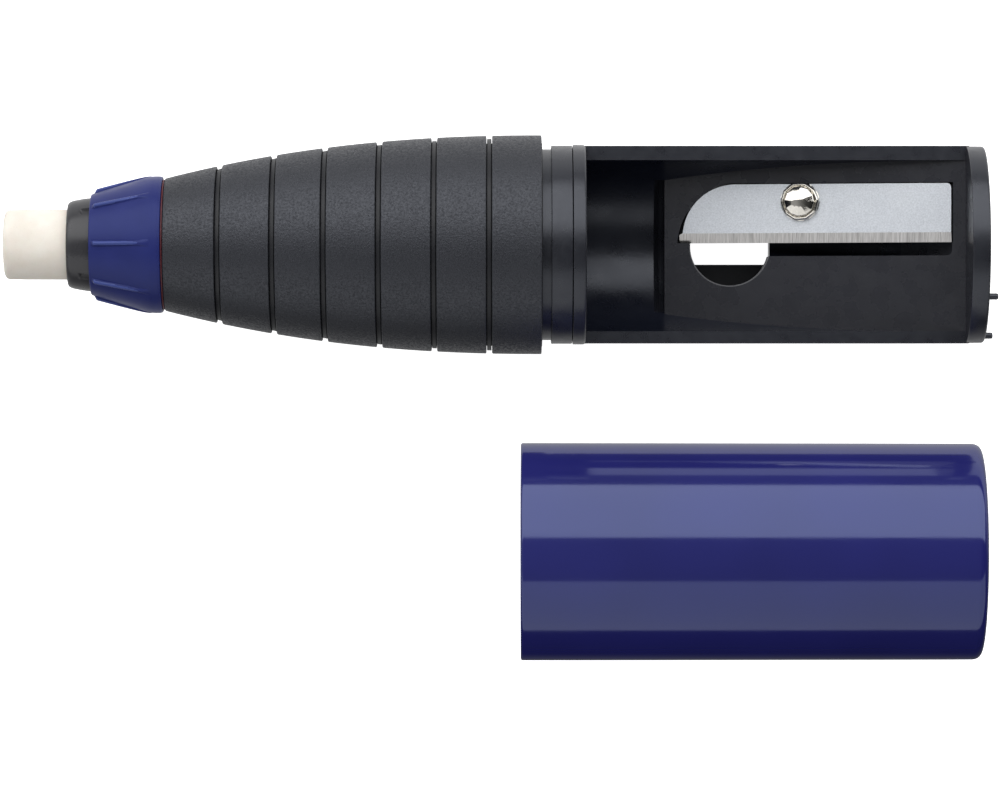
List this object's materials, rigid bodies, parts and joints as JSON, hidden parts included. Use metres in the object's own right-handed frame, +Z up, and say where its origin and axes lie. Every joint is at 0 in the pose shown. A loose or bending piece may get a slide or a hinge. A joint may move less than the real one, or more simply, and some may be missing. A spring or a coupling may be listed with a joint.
{
  "type": "twist-up eraser with pencil sharpener",
  "caption": "Pen-shaped twist-up stick eraser with a banded grip, a built-in wedge pencil sharpener in its tail and a blue slip-on shavings sleeve lying beside it.",
  "frame": {"origin": "centre of the bounding box's footprint, on the plane that the handle and the sleeve lie on", "axes": "+X along the handle from the eraser's tip to the sharpener's tail, +Y from the sleeve towards the handle, +Z up, square to the sharpener trough's open side"},
  "size_m": [0.0888, 0.0472, 0.0197],
  "materials": {
    "charcoal_plastic": "smooth satin moulded plastic, near-black charcoal",
    "soft_grip": "matt fine-grained soft-touch rubber, charcoal",
    "nose_plastic": "semi-gloss dark grey moulded plastic",
    "ring_blue": "satin-gloss blue moulded plastic",
    "sleeve_blue": "glossy deep blue moulded plastic",
    "eraser_cream": "matt off-white vinyl eraser",
    "white_acetal": "unpainted white acetal, hidden",
    "washer_red": "thin dark red plastic washer",
    "blade_steel": "bead-blasted steel with a ground edge",
    "bright_steel": "polished nickel-plated steel"
  },
  "bodies": {
    "handle": {"barrel_core": "charcoal_plastic", "helix_sleeve": "white_acetal", "grip_band_1": "soft_grip", "grip_band_2": "soft_grip", "grip_band_3": "soft_grip", "grip_band_4": "soft_grip", "grip_band_5": "soft_grip", "grip_band_6": "soft_grip", "grip_band_7": "soft_grip", "sharpener_housing": "charcoal_plastic", "sharpener_blade": "blade_steel", "blade_screw": "bright_steel"},
    "twister": {"twist_ring": "ring_blue", "guide_tube": "nose_plastic", "friction_washer": "washer_red", "thrust_washer": "white_acetal", "retaining_clip": "bright_steel"},
    "carrier": {"eraser_carrier": "white_acetal"},
    "eraser": {"eraser_stick": "eraser_cream"},
    "sleeve": {"shavings_sleeve": "sleeve_blue"}
  },
  "joints": [
    {"name": "twist", "type": "hinge", "parent": "handle", "child": "twister", "pos_m": [0, 0.01377, 0.00984], "axis": [1, 0, 0], "range_deg": [-110.1, 250.1]},
    {"name": "eraser_feed", "type": "slide", "parent": "twister", "child": "carrier", "axis": [-1, 0, 0], "range_m": [-0.0055, 0.0125]},
    {"name": "eraser_refill", "type": "slide", "parent": "carrier", "child": "eraser", "axis": [-1, 0, 0], "range_m": [0, 0.03]},
    {"name": "sleeve_slide", "type": "slide", "parent": "handle", "child": "sleeve", "axis": [1, 0, 0], "range_m": [0, 0.045]}
  ],
  "couplings": [
    {"joint": "twist", "follows": "eraser_feed", "rad_per_m": 349.07}
  ]
}
